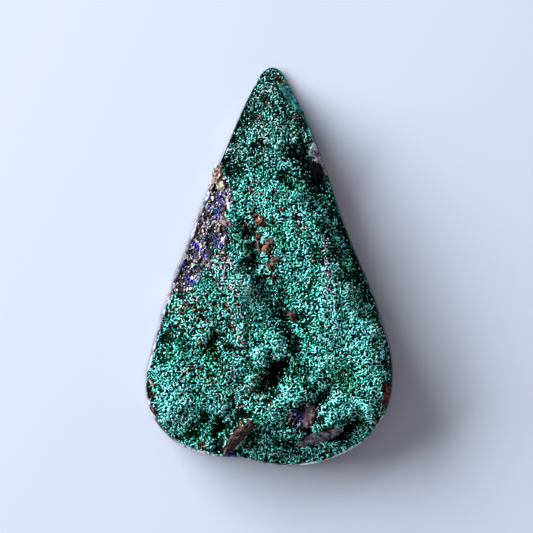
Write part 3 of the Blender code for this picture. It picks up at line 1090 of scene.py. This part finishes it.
def top_places(slab, xy):
    """Which places have natural top clear of the wall and the chips; its points and slopes there."""
    points, normals = slab.top_at(xy)
    kept = (points[:, 2] > LOWEST_TOP * MM) & (normals[:, 2] > TOP_SLOPE) & ~on_chip(xy)
    kept[kept] = slab.depth_inside(points[kept]) > edge_margin(xy[kept])
    points, normals = points[kept], normals[kept]
    return kept, points, np.clip(-normals[:, :2] / normals[:, 2:], -STEEPEST, STEEPEST)


def swells(points):
    """How far each point's place stands out in broad swells, or is sunk in hollows."""
    height = np.zeros(len(points))
    for path, radius, amount in SWELLS:
        gap = distance_to_path(points[:, :2], metres(path)) / (radius * MM)
        height += amount * (1.0 - smooth_step(gap, *SWELL_FADE))
    return height


# The crust's lumps: the waves whose folded heights make them, and the level that they are measured from
LUMP_WAVE = (0.32, 1.3, 21)
LUMP_LEVEL = 0.096


def lumps(points):
    """Rounded lumps with creases between them: how far the crust stands out, in millimetres."""
    return np.abs(ripples(points, LUMP_WAVE)) - LUMP_LEVEL + SWELL_HEIGHT * swells(points)


# The network of strands: its wavelength, the range of a strand's length in millimetres, the seed and the
# least slope of the noise whose lines it follows, and the step that measures the slope
NETWORK_WAVE = 0.38
STRAND_LENGTH = 0.56
STRAND_REACH = (0.7, 1.3)
NETWORK_SEED = 71
LEAST_SLOPE = 0.35
SLOPE_STEP = 0.05

# The ribs of the bare rock: which way they run and how much that varies, and the share of strands there
# that follow them
RIB_ANGLE = math.radians(78.0)
RIB_SPREAD = 0.4
RIBBED_SHARE = 0.75


def onto_network(places):
    """Places moved onto the winding level lines of a noise, and the lines' directions, in wavelengths."""
    level = rough(places, 1.0, NETWORK_SEED)
    moved = [rough(places + move, 1.0, NETWORK_SEED) for move in SLOPE_STEP * np.eye(2)]
    slope = (np.column_stack(moved) - level[:, None]) / SLOPE_STEP
    steepness = (slope ** 2).sum(axis=1) + LEAST_SLOPE ** 2
    run = np.column_stack((-slope[:, 1], slope[:, 0])) / np.sqrt(steepness)[:, None]
    return places - (level / steepness)[:, None] * slope, run


def strand_lines(rng, xy):
    """The middle line of each strand: along the network, or along the ribs where the rock is bare."""
    reach = rng.uniform(*STRAND_REACH, (len(xy), 1)) * STRAND_LENGTH / NETWORK_WAVE / (STRAND_RINGS + 1)
    lean = rng.normal(RIB_ANGLE, RIB_SPREAD, len(xy))
    ribs = np.column_stack((np.cos(lean), np.sin(lean)))
    ribbed = ((bare_share(xy) > 0.5) & (rng.random(len(xy)) < RIBBED_SHARE))[:, None]
    middle, run = onto_network(xy / (NETWORK_WAVE * MM))
    middle, run = onto_network(middle)
    line = [middle]
    for way in (-1.0, 1.0):
        place, along = middle, run
        for _ in range((STRAND_RINGS + 1) // 2):
            curved, along = onto_network(place + way * reach * along)
            place = np.where(ribbed, place + way * reach * ribs, curved)
            line.append(place)
        line.reverse()
    return np.stack(line[::-1], axis=1) * NETWORK_WAVE * MM


# The grains' own lighter and darker shades: their waves, those added on the bare patch, and how much
# single grains differ
SHADE_WAVES = ((0.10, 1.4, 51), (0.08, 0.6, 52))
BARE_SHADE_WAVE = (0.35, 0.8, 53)
SHADE_SPREAD = 0.05


class Layer:
    """One layer of grains: their points, one grain's triangles, and each grain's mineral and colours."""

    def __init__(self, rng, slab, points, slopes, grains, triangles, rust_gaps):
        count = len(points)
        self.triangles = triangles
        xy = points[:, :2]
        minerals, tones = minerals_at(xy, rng)
        # The swells add painted light and the hollows painted shade to the grains' own random shades
        shades = ripples(xy, *SHADE_WAVES) + SWELL_PAINTED_SHADE * swells(points)
        shades += bare_share(xy) * ripples(xy, BARE_SHADE_WAVE) + rng.normal(0.0, SHADE_SPREAD, count)
        colours = np.column_stack((tones, shades, dullness(xy)))
        grains[:, :, 2] += np.einsum("nki,ni->nk", grains[:, :, :2], slopes)
        grains = ground_off(slab, grains + points[:, None, :], points)
        kept = (minerals != MINERALS.index("iron")) | (rng.random(count) >= rust_gaps)
        self.points, self.minerals, self.colours = grains[kept], minerals[kept], colours[kept]


# How many shapes the lumps of a layer share, their detail, and how much their sizes differ along each axis
LUMP_KINDS = 24
LUMP_DETAIL = 1
LUMP_STRETCH = 0.2


def lump_layer(rng, slab, points, slopes, radii, unevenness, rust_gaps):
    """A layer of uneven lumps."""
    shapes, triangles = lump_shapes(rng, LUMP_KINDS, LUMP_DETAIL, unevenness)
    sizes = radii[:, None] * np.exp(rng.normal(0.0, LUMP_STRETCH, (len(points), 3)))
    grains = turned(rng, shapes[rng.integers(0, len(shapes), len(points))] * sizes[:, None, :])
    return Layer(rng, slab, points, slopes, grains, triangles, rust_gaps)


GRAIN_SEED = 7

# How much the radii differ in each layer; how far the layer's tops lie over what it grows on, with their
# spread, in millimetres; how uneven the lumps are; and the share of the rust left out of the upper layers
NODULE_SPREAD = 0.18
FINE_SPREAD = 0.25
NODULE_LIFT = (-0.20, 0.05)
BARE_NODULE_LIFT = 0.16
STRAND_LIFT = (-0.05, 0.04)
BEAD_LIFT = (0.0, 0.03)
NODULE_UNEVENNESS = 0.8
BEAD_UNEVENNESS = 0.6
RUST_GAPS = 0.5

# A bead is left out where the grains that would hold it are further than this under the natural top
BEAD_DROP = 0.3


def spread_radii(rng, middle, spread, count):
    """Radii about a middle one, each larger or smaller by a random share."""
    return middle * np.exp(rng.normal(0.0, spread, count))


def grow_grains(slab, settings):
    """Layers of grains: nodules set on the rock, a network of strands on them and beads on the strands."""
    rng = np.random.default_rng(GRAIN_SEED)
    heights = HeightMap(slab)
    top = slab.high.z

    _, points, slopes = top_places(slab, scattered(rng, slab, settings.nodule_spacing))
    radii = spread_radii(rng, settings.nodule_radius, NODULE_SPREAD, len(points))
    lift = lumps(points) + BARE_NODULE_LIFT * bare_share(points[:, :2])
    points[:, 2] += (lift + rng.normal(*NODULE_LIFT, len(points))) * MM - radii
    nodules = lump_layer(rng, slab, points, slopes, radii, NODULE_UNEVENNESS, 0.0)

    lines = strand_lines(rng, scattered(rng, slab, settings.strand_spacing))
    places = lines[:, lines.shape[1] // 2]
    kept, points, slopes = top_places(slab, places)
    lines = lines[kept] - places[kept][:, None, :]
    radii = spread_radii(rng, settings.strand_radius, FINE_SPREAD, len(points))
    lift = lumps(points) + rng.normal(*STRAND_LIFT, len(points))
    points[:, 2] = np.minimum(points[:, 2] + lift * MM, top) - radii
    strands = Layer(rng, slab, points, slopes, tubes(rng, lines, radii), strand_faces(), RUST_GAPS)

    for layer in (nodules, strands):
        heights.raise_to(layer.points.reshape(-1, 3))
    heights.close_gaps()

    _, points, slopes = top_places(slab, scattered(rng, slab, settings.bead_spacing))
    ground = heights.heights[heights.cells(points[:, :2])]
    held = ground > points[:, 2] - BEAD_DROP * MM
    points, slopes, ground = points[held], slopes[held], ground[held]
    radii = spread_radii(rng, settings.bead_radius, FINE_SPREAD, len(points))
    points[:, 2] = np.minimum(ground + rng.normal(*BEAD_LIFT, len(points)) * MM, top - radii)
    beads = lump_layer(rng, slab, points, slopes, radii, BEAD_UNEVENNESS, RUST_GAPS)
    heights.raise_to(beads.points.reshape(-1, 3))
    return (nodules, strands, beads), heights


def join_grains(layers, mineral, ranges):
    """One mineral's grains whose middles lie in ranges of x and y: points, triangles and point colours."""
    points, triangles, colours = [], [], []
    start = 0
    for layer in layers:
        middles = layer.points.mean(axis=1) / MM
        chosen = layer.minerals == MINERALS.index(mineral)
        for along, (low, high) in zip(middles.T, ranges):
            chosen &= (along > low) & (along <= high)
        mine = layer.points[chosen]
        count = mine.shape[1]
        offsets = start + count * np.arange(len(mine))
        points.append(mine.reshape(-1, 3))
        triangles.append((layer.triangles[None] + offsets[:, None, None]).reshape(-1, 3))
        colours.append(np.repeat(layer.colours[chosen], count, axis=0))
        start += count * len(mine)
    return np.vstack(points), np.vstack(triangles), np.vstack(colours)


# Each mineral's roughness and shine, and its colours from its gaps to its open tips: at the low end of
# its tones, at the high end, and where it is weathered dull.  The near-black colours of the gaps are
# painted shade, and the pale colours of the open tips are partly painted light and partly the paler tips
# of the crust.  A colour that is given by name is the setting's.
FINISHES = {
    "malachite": (0.65, 0.05,
                  ((0.26, (0.000, 0.004, 0.002)), (0.42, (0.004, 0.14, 0.08)),
                   (0.66, "malachite_colour"), (1.0, (0.40, 0.80, 0.76))),
                  ((0.26, (0.000, 0.003, 0.001)), (0.43, (0.001, 0.13, 0.05)),
                   (0.68, "vivid_colour"), (1.0, (0.24, 0.77, 0.56))),
                  ((0.26, (0.001, 0.004, 0.002)), (0.50, (0.03, 0.12, 0.08)),
                   (0.75, (0.16, 0.34, 0.28)), (1.0, (0.38, 0.54, 0.47)))),
    "azurite": (0.4, 0.4,
                ((0.26, (0.001, 0.001, 0.012)), (0.50, (0.003, 0.003, 0.09)),
                 (0.75, "azurite_colour"), (1.0, (0.05, 0.065, 0.46))),
                ((0.26, (0.003, 0.002, 0.010)), (0.50, (0.015, 0.010, 0.07)),
                 (0.75, (0.06, 0.055, 0.22)), (1.0, (0.26, 0.28, 0.50))), None),
    "iron": (0.8, 0.1,
             ((0.26, (0.003, 0.001, 0.001)), (0.50, (0.035, 0.011, 0.006)),
              (0.75, "iron_colour"), (1.0, (0.30, 0.19, 0.15))),
             ((0.26, (0.010, 0.004, 0.001)), (0.50, (0.12, 0.05, 0.014)),
              (0.75, (0.34, 0.18, 0.06)), (1.0, (0.55, 0.42, 0.24))), None),
    "matrix": (0.7, 0.15,
               ((0.26, (0.002, 0.001, 0.002)), (0.50, (0.05, 0.04, 0.05)),
                (0.75, "matrix_colour"), (1.0, (0.68, 0.65, 0.67))),
               ((0.26, (0.006, 0.004, 0.003)), (0.50, (0.09, 0.06, 0.05)),
                (0.75, (0.34, 0.26, 0.22)), (1.0, (0.66, 0.57, 0.51))), None),
}

# The flecks of the minerals, and the names of what each grain's colour follows
MINERAL_FLECKS = (3500.0, 3.0)
COLOURS = ("tone", "shade", "dull")


def mineral_finish(name, settings):
    """Colours run from painted shade deep in the gaps to painted light on the open tips, with the grain's own
    shade and fine flecks.
    """
    roughness, shine, cool, warm, weathered = FINISHES[name]
    finish = Finish(name, settings, roughness, shine)
    level = finish.math("ADD", finish.attribute("openness"), finish.attribute("shade"))
    level = finish.math("ADD", level, finish.flecks(*MINERAL_FLECKS))
    colour = finish.mix(finish.attribute("tone"), finish.ramp(level, cool), finish.ramp(level, warm))
    if weathered:
        colour = finish.mix(finish.attribute("dull"), colour, finish.ramp(level, weathered))
    finish.use("Base Color", colour)
    return finish.material


# How far a point stands out of the gaps, which sets the painted shade in the gaps and the painted light
# on the tips: a share for the level of the grains round it, taken over some cells of the height map, and
# the height in millimetres that adds one whole share
OPEN_LEVEL = 0.74
OPEN_CELLS = 4
OPEN_HEIGHT = 0.42

# Pieces of the crust: the mineral, and the ranges of x and of y, in millimetres, that its grains lie in
ALL = (-math.inf, math.inf)
PIECES = {
    "malachite_tip": ("malachite", ALL, (11.0, math.inf)),
    "malachite_waist": ("malachite", ALL, (2.0, 11.0)),
    "malachite_middle": ("malachite", ALL, (-6.0, 2.0)),
    "malachite_left": ("malachite", (-math.inf, 0.0), (-14.5, -6.0)),
    "malachite_right": ("malachite", (0.0, math.inf), (-14.5, -6.0)),
    "malachite_base": ("malachite", ALL, (-math.inf, -14.5)),
    "azurite_crystals": ("azurite", ALL, ALL),
    "iron_oxide_grains": ("iron", ALL, ALL),
    "matrix_grains": ("matrix", ALL, ALL),
}


class SPECIMEN_OT_mineral_grains(bpy.types.Operator):
    """Grow the crust: green malachite with azurite, iron oxide and pale matrix in it"""

    bl_idname = "specimen.mineral_grains"
    bl_label = "Mineral Grains"

    def execute(self, context):
        settings = context.scene.specimen_grains
        layers, heights = grow_grains(Slab(), settings)
        level = heights.softened(OPEN_CELLS)
        materials = {name: mineral_finish(name, settings) for name in MINERALS}
        for name, (mineral, *ranges) in PIECES.items():
            points, triangles, colours = join_grains(layers, mineral, ranges)
            mesh = mesh_from_arrays(name, points, triangles)
            # How far each point stands out of the grains round it; the colours turn this into painted shade
            # in the gaps and painted light on the tips
            over = points[:, 2] - level[heights.cells(points[:, :2])]
            attribute(mesh, "openness", np.clip(OPEN_LEVEL + over / (OPEN_HEIGHT * MM), 0.0, 1.0))
            for colour, values in zip(COLOURS, colours.T):
                attribute(mesh, colour, values)
            if mineral != "azurite":
                mesh.shade_smooth()
            add_piece(name, mesh, materials[mineral])
        return {"FINISHED"}


# Chips of rock

CHIP_SEED = 19
CHIP_DETAIL = 4
CHIP_UNEVENNESS = 0.55

# The flat facets of a chip: how many, how far from its middle, and how boxy it is under them
FACETS = 14
FACET_DEPTHS = (0.7, 1.1)
BOXINESS = 0.7

# The waves of a chip's roughness, and of its fine ridges, which are drawn out along its length
CHIP_WAVES = ((0.20, 0.5, 62), (0.16, 0.2, 61))
RIDGE_WAVE = (0.2, 0.25, 63)
LAYERED = (0.25, 1.0, 0.0)

# Where the top is felt for under a chip: so many directions, and shares of the way to its outline
FEELERS = 12
FEELER_SHARES = (0.9, 0.5)


class ChipSettings(bpy.types.PropertyGroup):
    chip_height: bpy.props.FloatProperty(
        name="Chip height", description="Half the thickness of a chip", default=0.36 * MM, unit="LENGTH")
    chip_jut: bpy.props.FloatProperty(
        name="Chip jut", description="How far the chips at the left shoulder may jut past the wall",
        default=0.6 * MM, unit="LENGTH")
    tan: bpy.props.FloatVectorProperty(
        name="Tan", description="Colour of the tan chips", subtype="COLOR", default=(0.52, 0.37, 0.24))
    yellow: bpy.props.FloatVectorProperty(
        name="Yellow", description="Colour of the yellow chip", subtype="COLOR", default=(0.50, 0.40, 0.26))
    brown: bpy.props.FloatVectorProperty(
        name="Brown", description="Colour of the brown lath", subtype="COLOR", default=(0.10, 0.05, 0.038))
    grey: bpy.props.FloatVectorProperty(
        name="Grey", description="Colour of the grey slab", subtype="COLOR", default=(0.25, 0.23, 0.24))
    # This near-black colour is a painted shadow at the notch
    dark: bpy.props.FloatVectorProperty(
        name="Dark", description="Colour of the dark chip", subtype="COLOR", default=(0.02, 0.018, 0.02))


# The mottling of the chips' colours, and its noise
MOTTLING = ((0.38, (0.06, 0.05, 0.05)), (0.50, (0.60, 0.58, 0.60)), (0.62, (1.0, 1.0, 1.0)))
MOTTLING_NOISE = (2200.0, 8.0)


def chip_finish(settings):
    """Weathered rock: each chip's own colour, mottled."""
    finish = Finish("weathered rock", settings, roughness=0.8)
    mottling = finish.ramp(finish.noise(*MOTTLING_NOISE), MOTTLING)
    finish.use("Base Color", finish.mix(1.0, finish.attribute("rock_colour", "Color"), mottling, "MULTIPLY"))
    return finish.material


def faceted(rng, ball):
    """A ball made boxy, with some flat facets cut on it."""
    ball = np.sign(ball) * np.abs(ball) ** BOXINESS
    for direction in rng.normal(size=(FACETS, 3)):
        direction /= np.linalg.norm(direction)
        over = np.maximum(ball @ direction - rng.uniform(*FACET_DEPTHS), 0.0)
        ball = ball - over[:, None] * direction
    return ball


def plane_under(slab, middle, length, width, spin):
    """The height and slope of a flat piece that lies on the natural top over its own outline."""
    ring = np.arange(FEELERS) * math.tau / FEELERS
    gaps = np.column_stack((length * np.cos(ring), width * np.sin(ring))) * MM @ spin[:2, :2].T
    gaps = np.vstack((*(gaps * share for share in FEELER_SHARES), [[0.0, 0.0]]))
    points, normals = slab.top_at(gaps + metres(middle))
    on_top = (points[:, 2] > 0.0) & (normals[:, 2] > TOP_SLOPE)
    terms = np.column_stack((np.ones(len(gaps)), gaps))
    return np.linalg.lstsq(terms[on_top], points[on_top, 2], rcond=None)[0]


def chip_points(rng, slab, name, half_height):
    """One chip's points where it lies, and its triangles."""
    middle, length, width, turn, _ = CHIPS[name]
    shapes, triangles = lump_shapes(rng, 1, CHIP_DETAIL, CHIP_UNEVENNESS)
    chip = faceted(rng, shapes[0]) * (length * MM, width * MM, half_height)
    chip[:, 2] += ripples(chip * LAYERED, RIDGE_WAVE) * MM
    spin = turn_about_z(turn)
    chip = chip @ spin.T
    height, slope_x, slope_y = plane_under(slab, middle, length, width, spin)
    height += (JUTTING_LIFT * (name in JUTTING) - CHIP_SINK) * MM
    chip[:, 2] += height + chip[:, 0] * slope_x + chip[:, 1] * slope_y
    chip[:, 2] += ripples(chip, *CHIP_WAVES) * MM
    chip[:, :2] += metres(middle)
    return chip, triangles


class SPECIMEN_OT_rock_chips(bpy.types.Operator):
    """Lay the chips of weathered rock in the crust"""

    bl_idname = "specimen.rock_chips"
    bl_label = "Rock Chips"

    def execute(self, context):
        settings = context.scene.specimen_chips
        slab = Slab()
        rng = np.random.default_rng(CHIP_SEED)
        chips, triangles = zip(*(chip_points(rng, slab, name, settings.chip_height) for name in CHIPS))
        middles = metres([middle for middle, *_ in CHIPS.values()])
        jut = np.array([[settings.chip_jut * (name in JUTTING)] for name in CHIPS])
        chips = ground_off(slab, np.array(chips), middles, jut)
        count = chips.shape[1]
        corners = np.array(triangles) + count * np.arange(len(chips))[:, None, None]
        mesh = mesh_from_arrays("rock_chips", chips.reshape(-1, 3), corners.reshape(-1, 3))
        colours = [(*colour_of(settings, colour), 1.0) for *_, colour in CHIPS.values()]
        layer = mesh.attributes.new("rock_colour", "FLOAT_COLOR", "POINT")
        layer.data.foreach_set("color", np.repeat(colours, count, axis=0).astype(np.float32).ravel())
        mesh.shade_smooth()
        add_piece("rock_chips", mesh, chip_finish(settings))
        return {"FINISHED"}


# Stage


class StageSettings(bpy.types.PropertyGroup):
    camera_height: bpy.props.FloatProperty(
        name="Camera height", description="Height of the camera above the floor",
        default=0.2498, unit="LENGTH")
    lens: bpy.props.FloatProperty(name="Lens", description="Focal length", default=135.0, unit="CAMERA")
    light_distance: bpy.props.FloatProperty(
        name="Light distance", description="From the stone to the soft light", default=0.8, unit="LENGTH")
    light_width: bpy.props.FloatProperty(
        name="Light width", description="Level side of the soft light", default=1.0, unit="LENGTH")
    light_tallness: bpy.props.FloatProperty(
        name="Light tallness", description="Upright side of the soft light", default=0.38, unit="LENGTH")
    light_elevation: bpy.props.FloatProperty(
        name="Light elevation", description="Height of the light above the horizon",
        default=math.radians(21.3), subtype="ANGLE")
    light_power: bpy.props.FloatProperty(name="Light power", description="In watts", default=35.0)
    light_colour: bpy.props.FloatVectorProperty(
        name="Light colour", description="Colour of the soft light", subtype="COLOR",
        default=(0.742, 0.832, 1.0))
    sky_colour: bpy.props.FloatVectorProperty(
        name="Sky colour", description="Colour of the light from all round", subtype="COLOR",
        default=(0.86, 0.84, 1.0))
    sky_strength: bpy.props.FloatProperty(
        name="Sky strength", description="Strength of the light from all round", default=0.455)
    floor_colour: bpy.props.FloatVectorProperty(
        name="Floor colour", description="Colour of the plain floor", subtype="COLOR",
        default=(0.45, 0.455, 0.47))
    floor_width: bpy.props.FloatProperty(
        name="Floor width", description="Side of the square floor", default=3.0, unit="LENGTH")


# The place that the camera looks down on, in millimetres, and the way to the light, seen from above
VIEW_CENTRE = (-0.3, 0.0)
LIGHT_FROM = (-0.885, 0.465)


def add_camera(stage):
    """The camera, which looks straight down."""
    data = bpy.data.cameras.new("camera above")
    data.lens = stage.lens
    camera = bpy.data.objects.new("camera above", data)
    camera.location = (*metres(VIEW_CENTRE), stage.camera_height)
    bpy.context.scene.collection.objects.link(camera)
    bpy.context.scene.camera = camera


def add_soft_light(stage):
    """A low, wide and soft light that faces the stone."""
    data = bpy.data.lights.new("soft light", "AREA")
    data.shape = "RECTANGLE"
    data.size = stage.light_width
    data.size_y = stage.light_tallness
    data.energy = stage.light_power
    data.color = stage.light_colour
    light = bpy.data.objects.new("soft light", data)
    side = Vector((*LIGHT_FROM, 0.0)).normalized() * math.cos(stage.light_elevation)
    towards = Vector((side.x, side.y, math.sin(stage.light_elevation)))
    light.location = towards * stage.light_distance
    light.rotation_euler = towards.to_track_quat("Z", "Y").to_euler()
    bpy.context.scene.collection.objects.link(light)


def add_sky(stage):
    """Even light from all round."""
    world = bpy.data.worlds.new("pale sky")
    world.use_nodes = True
    background = world.node_tree.nodes["Background"]
    background.inputs["Color"].default_value = (*stage.sky_colour, 1.0)
    background.inputs["Strength"].default_value = stage.sky_strength
    bpy.context.scene.world = world


def add_floor(stage):
    """The plain floor that the stone lies on."""
    bpy.ops.mesh.primitive_plane_add(size=stage.floor_width)
    floor = bpy.context.object
    floor.name = "floor"
    finish = Finish("plain floor", stage, roughness=0.9)
    finish.set("Base Color", (*stage.floor_colour, 1.0))
    floor.data.materials.append(finish.material)


class SPECIMEN_OT_stage(bpy.types.Operator):
    """Set up the camera, the soft light, the sky and the floor"""

    bl_idname = "specimen.stage"
    bl_label = "Stage"

    def execute(self, context):
        stage = context.scene.specimen_stage
        context.scene.view_settings.view_transform = "Standard"
        add_camera(stage)
        add_soft_light(stage)
        add_sky(stage)
        add_floor(stage)
        return {"FINISHED"}


class SPECIMEN_PT_panel(bpy.types.Panel):
    """Settings and steps of the specimen"""

    bl_label = "Mineral Specimen"
    bl_idname = "SPECIMEN_PT_panel"
    bl_space_type = "VIEW_3D"
    bl_region_type = "UI"
    bl_category = "Specimen"

    def draw(self, context):
        for name, (settings, operator) in STEPS.items():
            box = self.layout.box()
            for key in settings.__annotations__:
                box.prop(getattr(context.scene, name), key)
            box.operator(operator.bl_idname)


# Each step's settings on the scene, with their class and the step's operator
STEPS = {
    "specimen_stone": (StoneSettings, SPECIMEN_OT_host_stone),
    "specimen_grains": (GrainSettings, SPECIMEN_OT_mineral_grains),
    "specimen_chips": (ChipSettings, SPECIMEN_OT_rock_chips),
    "specimen_stage": (StageSettings, SPECIMEN_OT_stage),
}


def register():
    for name, (settings, operator) in STEPS.items():
        bpy.utils.register_class(settings)
        setattr(bpy.types.Scene, name, bpy.props.PointerProperty(type=settings))
        bpy.utils.register_class(operator)
    bpy.utils.register_class(SPECIMEN_PT_panel)


def unregister():
    bpy.utils.unregister_class(SPECIMEN_PT_panel)
    for name, (settings, operator) in reversed(STEPS.items()):
        bpy.utils.unregister_class(operator)
        delattr(bpy.types.Scene, name)
        bpy.utils.unregister_class(settings)


def main():
    register()
    bpy.ops.specimen.host_stone()
    bpy.ops.specimen.mineral_grains()
    bpy.ops.specimen.rock_chips()
    bpy.ops.specimen.stage()


if __name__ == "__main__":
    main()
